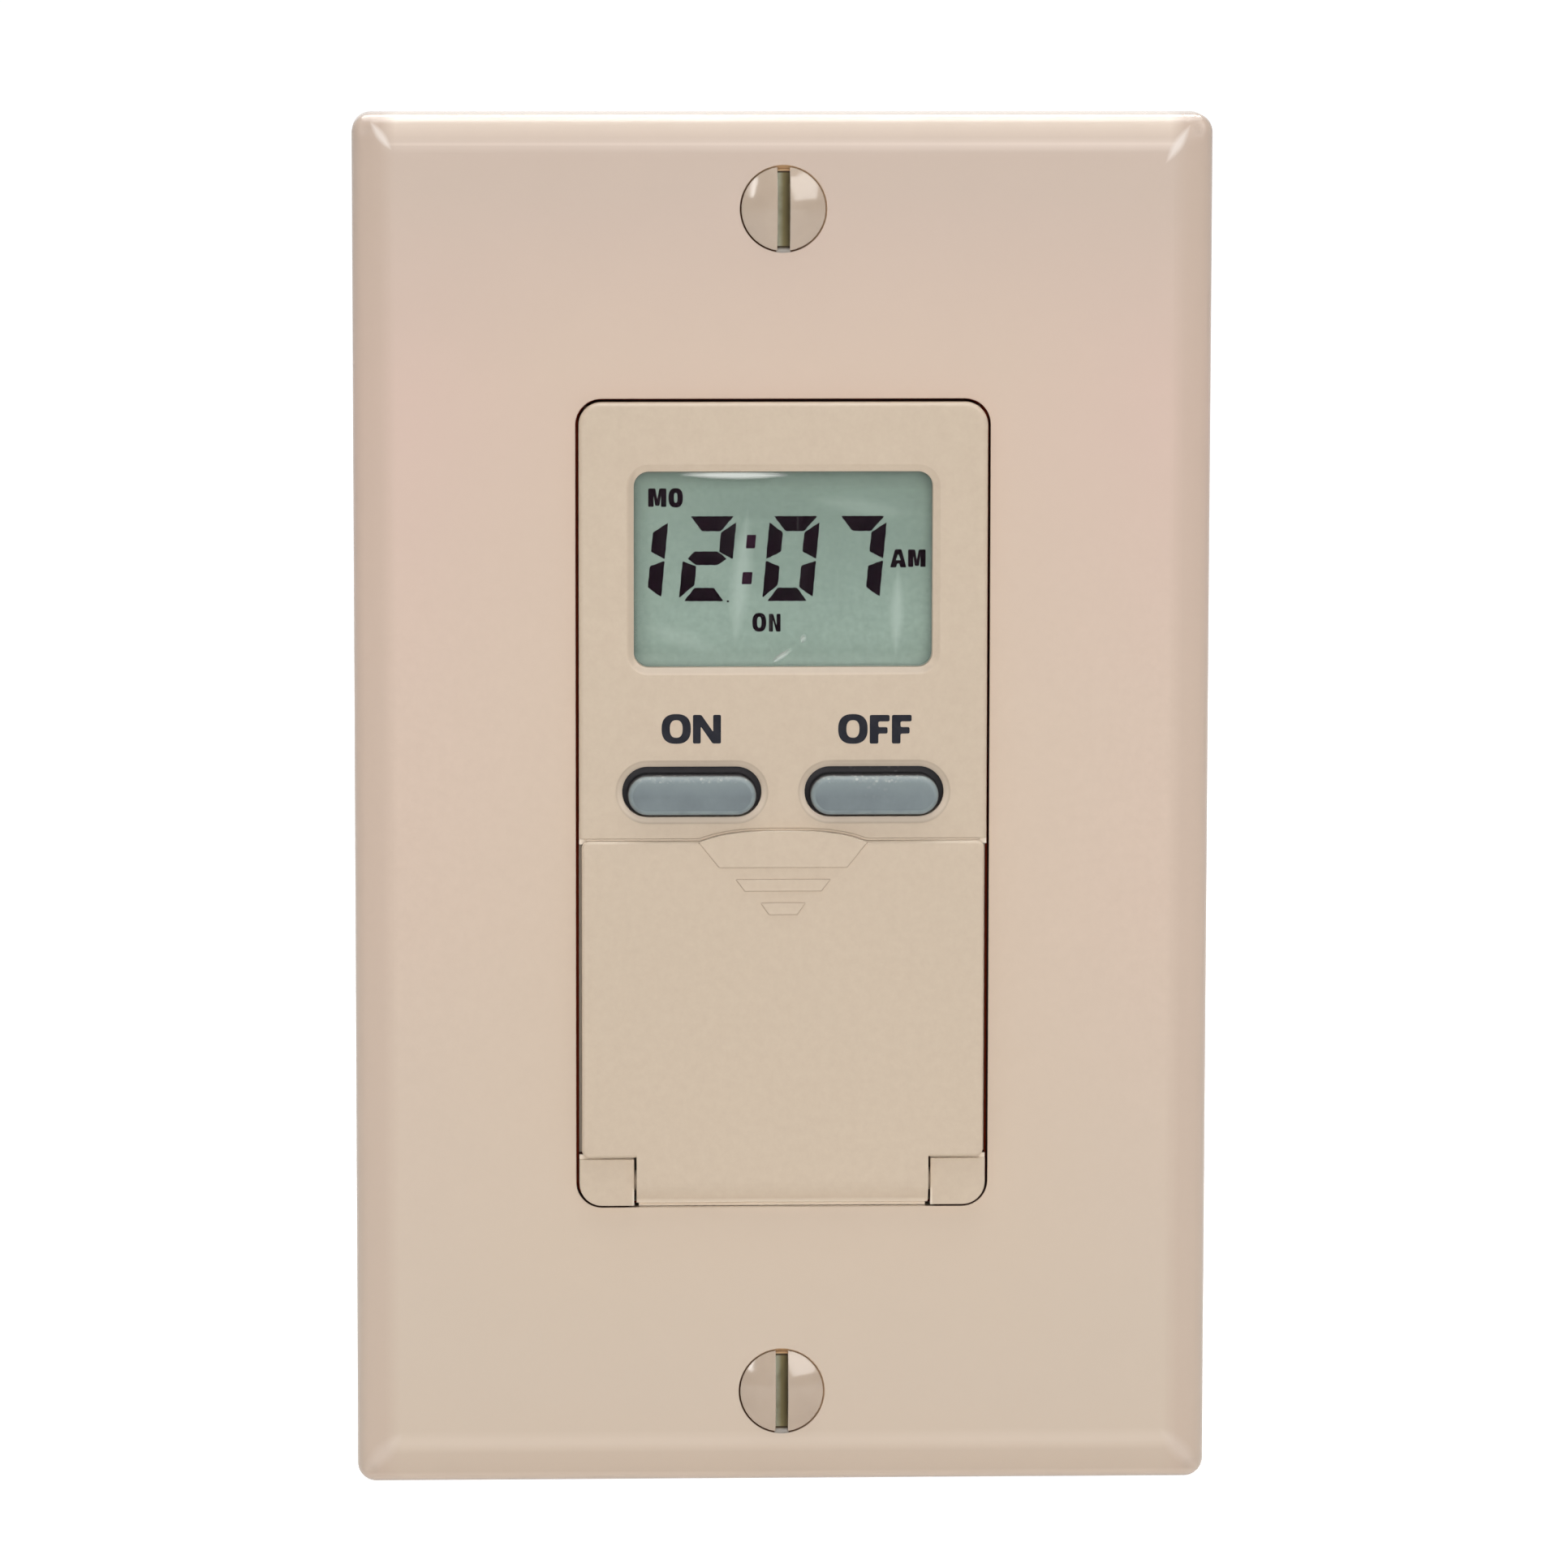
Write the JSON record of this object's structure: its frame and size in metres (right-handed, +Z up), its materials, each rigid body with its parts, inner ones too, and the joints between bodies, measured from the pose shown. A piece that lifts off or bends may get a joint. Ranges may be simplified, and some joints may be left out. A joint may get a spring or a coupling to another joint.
{
  "type": "timer light switch",
  "caption": "In-wall timer light switch: ivory wall plate, face with a display window, ON and OFF push buttons, and a drop-down door over the program keys.",
  "frame": {"origin": "middle between the two box screws, in the wall plane that the strap and the plate's rim lie in", "axes": "+X to the right seen from the room, +Y into the wall, +Z up; the face looks along -Y"},
  "size_m": [0.0694, 0.0408, 0.112],
  "materials": {
    "ivory_plate": "satin moulded",
    "ivory_paint": "glossy paint",
    "zinc_steel": "zinc plated",
    "fibre": "pressed fibre",
    "green_zinc": "green plated",
    "ivory_face": "satin moulded",
    "clear_window": "clear",
    "display_glass": "grey-green reflective",
    "frame_plastic": "moulded",
    "zebra_rubber": "layered",
    "key_rubber": "satin translucent",
    "mat_rubber": "translucent",
    "green_board": "solder mask",
    "chip_plastic": "moulded",
    "backup_sleeve": "shrunk sleeve",
    "relay_cover": "moulded",
    "film_case": "moulded",
    "can_sleeve": "shrunk sleeve",
    "disc_coat": "dipped",
    "resistor_coat": "cement coat",
    "brass": "drawn",
    "black_housing": "moulded",
    "black_bush": "moulded"
  },
  "bodies": {
    "device": {"wallplate": "ivory_plate", "wallplate_screws": "ivory_paint", "mounting_strap": "zinc_steel", "mounting_screws": "zinc_steel", "screw_retainers": "fibre", "ground_screw": "green_zinc", "front_bezel": "ivory_face", "lcd_window": "clear_window", "lcd_cell": "display_glass", "lcd_frame": "frame_plastic", "zebra_strips": "zebra_rubber", "keypad_mat": "mat_rubber", "control_board": "green_board", "control_board_screws": "zinc_steel", "microcontroller": "chip_plastic", "clock_crystal": "zinc_steel", "backup_capacitor": "backup_sleeve", "board_link": "chip_plastic", "power_board": "green_board", "power_board_screws": "zinc_steel", "relay": "relay_cover", "supply_capacitor": "film_case", "filter_capacitor": "can_sleeve", "varistor": "disc_coat", "fuse_resistor": "resistor_coat", "lead_terminals": "brass", "rear_housing": "black_housing", "lead_bushing": "black_bush", "assembly_rivets": "brass"},
    "door": {"door": "ivory_face"},
    "on_button": {"on_button": "key_rubber"},
    "off_button": {"off_button": "key_rubber"},
    "mode_key": {"mode_key": "key_rubber"},
    "day_key": {"day_key": "key_rubber"},
    "hour_key": {"hour_key": "key_rubber"},
    "minute_key": {"minute_key": "key_rubber"},
    "set_key": {"set_key": "key_rubber"},
    "clear_key": {"clear_key": "key_rubber"}
  },
  "joints": [
    {"name": "door_hinge", "type": "hinge", "parent": "device", "child": "door", "pos_m": [0, -0.005, -0.0309], "axis": [1, 0, 0], "range_deg": [0, 100]},
    {"name": "on_press", "type": "slide", "parent": "device", "child": "on_button", "axis": [0, 1, 0], "range_m": [0, 0.0008], "stiffness_N_per_m": 400, "springref_m": -0.001, "deforming": ["keypad_mat"]},
    {"name": "off_press", "type": "slide", "parent": "device", "child": "off_button", "axis": [0, 1, 0], "range_m": [0, 0.0008], "stiffness_N_per_m": 400, "springref_m": -0.001, "deforming": ["keypad_mat"]},
    {"name": "mode_press", "type": "slide", "parent": "device", "child": "mode_key", "axis": [0, 1, 0], "range_m": [0, 0.0006], "stiffness_N_per_m": 400, "springref_m": -0.001, "deforming": ["keypad_mat"]},
    {"name": "day_press", "type": "slide", "parent": "device", "child": "day_key", "axis": [0, 1, 0], "range_m": [0, 0.0006], "stiffness_N_per_m": 400, "springref_m": -0.001, "deforming": ["keypad_mat"]},
    {"name": "hour_press", "type": "slide", "parent": "device", "child": "hour_key", "axis": [0, 1, 0], "range_m": [0, 0.0006], "stiffness_N_per_m": 400, "springref_m": -0.001, "deforming": ["keypad_mat"]},
    {"name": "minute_press", "type": "slide", "parent": "device", "child": "minute_key", "axis": [0, 1, 0], "range_m": [0, 0.0006], "stiffness_N_per_m": 400, "springref_m": -0.001, "deforming": ["keypad_mat"]},
    {"name": "set_press", "type": "slide", "parent": "device", "child": "set_key", "axis": [0, 1, 0], "range_m": [0, 0.0006], "stiffness_N_per_m": 400, "springref_m": -0.001, "deforming": ["keypad_mat"]},
    {"name": "clear_press", "type": "slide", "parent": "device", "child": "clear_key", "axis": [0, 1, 0], "range_m": [0, 0.0006], "stiffness_N_per_m": 400, "springref_m": -0.001, "deforming": ["keypad_mat"]}
  ]
}
